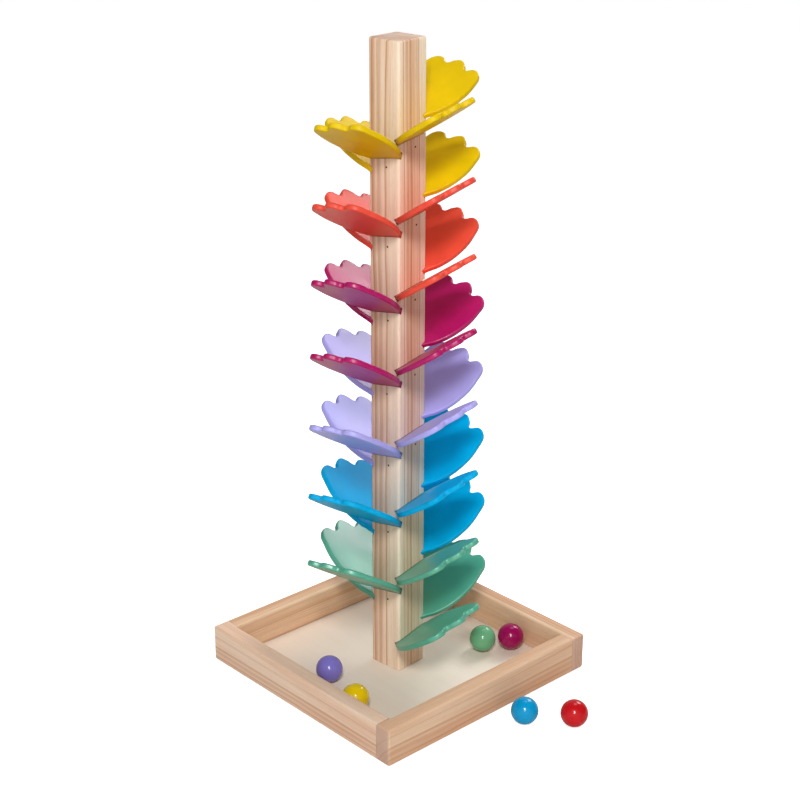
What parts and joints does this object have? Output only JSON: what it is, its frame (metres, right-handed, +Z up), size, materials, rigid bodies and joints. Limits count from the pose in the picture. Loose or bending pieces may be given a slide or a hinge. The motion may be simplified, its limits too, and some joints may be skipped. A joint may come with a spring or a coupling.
{
  "type": "marble run tree",
  "caption": "Wooden marble run: a square post with lobed painted petals winding down it, set in a shallow square tray that catches the loose wooden balls.",
  "frame": {"origin": "middle of the tray's flat underside", "axes": "+Z up along the post; the tray's sides lie along X and Y; the two balls outside the tray lie towards -Y"},
  "size_m": [0.2, 0.2602, 0.4767],
  "materials": {
    "pine": "bare planed pine with straight grain",
    "pale_ply": "bare pale plywood, sanded smooth",
    "screw_steel": "zinc-plated screw steel",
    "petal_yellow": "satin water-based paint on thin plywood",
    "petal_red": "satin water-based paint on thin plywood",
    "petal_magenta": "satin water-based paint on thin plywood",
    "petal_violet": "satin water-based paint on thin plywood",
    "petal_blue": "satin water-based paint on thin plywood",
    "petal_green": "satin water-based paint on thin plywood",
    "ball_yellow": "glossy paint on a turned wooden ball",
    "ball_red": "glossy paint on a turned wooden ball",
    "ball_magenta": "glossy paint on a turned wooden ball",
    "ball_violet": "glossy paint on a turned wooden ball",
    "ball_blue": "glossy paint on a turned wooden ball",
    "ball_green": "glossy paint on a turned wooden ball"
  },
  "bodies": {
    "tree": {"post": "pine", "petal_01_yellow": "petal_yellow", "petal_02_yellow": "petal_yellow", "petal_03_yellow": "petal_yellow", "petal_04_yellow": "petal_yellow", "petal_05_yellow": "petal_yellow", "petal_06_red": "petal_red", "petal_07_red": "petal_red", "petal_08_red": "petal_red", "petal_09_red": "petal_red", "petal_10_red": "petal_red", "petal_11_magenta": "petal_magenta", "petal_12_magenta": "petal_magenta", "petal_13_magenta": "petal_magenta", "petal_14_magenta": "petal_magenta", "petal_15_magenta": "petal_magenta", "petal_16_violet": "petal_violet", "petal_17_violet": "petal_violet", "petal_18_violet": "petal_violet", "petal_19_violet": "petal_violet", "petal_20_violet": "petal_violet", "petal_21_blue": "petal_blue", "petal_22_blue": "petal_blue", "petal_23_blue": "petal_blue", "petal_24_blue": "petal_blue", "petal_25_blue": "petal_blue", "petal_26_green": "petal_green", "petal_27_green": "petal_green", "petal_28_green": "petal_green", "petal_29_green": "petal_green", "petal_30_green": "petal_green", "tray_side_right_front": "pine", "tray_side_back_right": "pine", "tray_side_back_left": "pine", "tray_side_left_front": "pine", "tray_floor": "pale_ply", "base_screw_1": "screw_steel", "base_screw_2": "screw_steel"},
    "yellow_ball": {"ball_yellow": "ball_yellow"},
    "red_ball": {"ball_red": "ball_red"},
    "magenta_ball": {"ball_magenta": "ball_magenta"},
    "violet_ball": {"ball_violet": "ball_violet"},
    "blue_ball": {"ball_blue": "ball_blue"},
    "green_ball": {"ball_green": "ball_green"}
  },
  "joints": [
    {"name": "yellow_ball_lift", "type": "slide", "parent": "tree", "child": "yellow_ball", "axis": [0, -0.5, 0.866], "range_m": [0, 0.16]},
    {"name": "red_ball_lift", "type": "slide", "parent": "tree", "child": "red_ball", "axis": [0, 0, 1], "range_m": [0, 0.06]},
    {"name": "magenta_ball_lift", "type": "slide", "parent": "tree", "child": "magenta_ball", "axis": [0, -0.5, 0.866], "range_m": [0, 0.13]},
    {"name": "violet_ball_lift", "type": "slide", "parent": "tree", "child": "violet_ball", "axis": [-0.5, 0, 0.866], "range_m": [0, 0.104]},
    {"name": "blue_ball_lift", "type": "slide", "parent": "tree", "child": "blue_ball", "axis": [0, 0, 1], "range_m": [0, 0.06]},
    {"name": "green_ball_lift", "type": "slide", "parent": "tree", "child": "green_ball", "axis": [0.5, 0, 0.866], "range_m": [0, 0.112]}
  ]
}
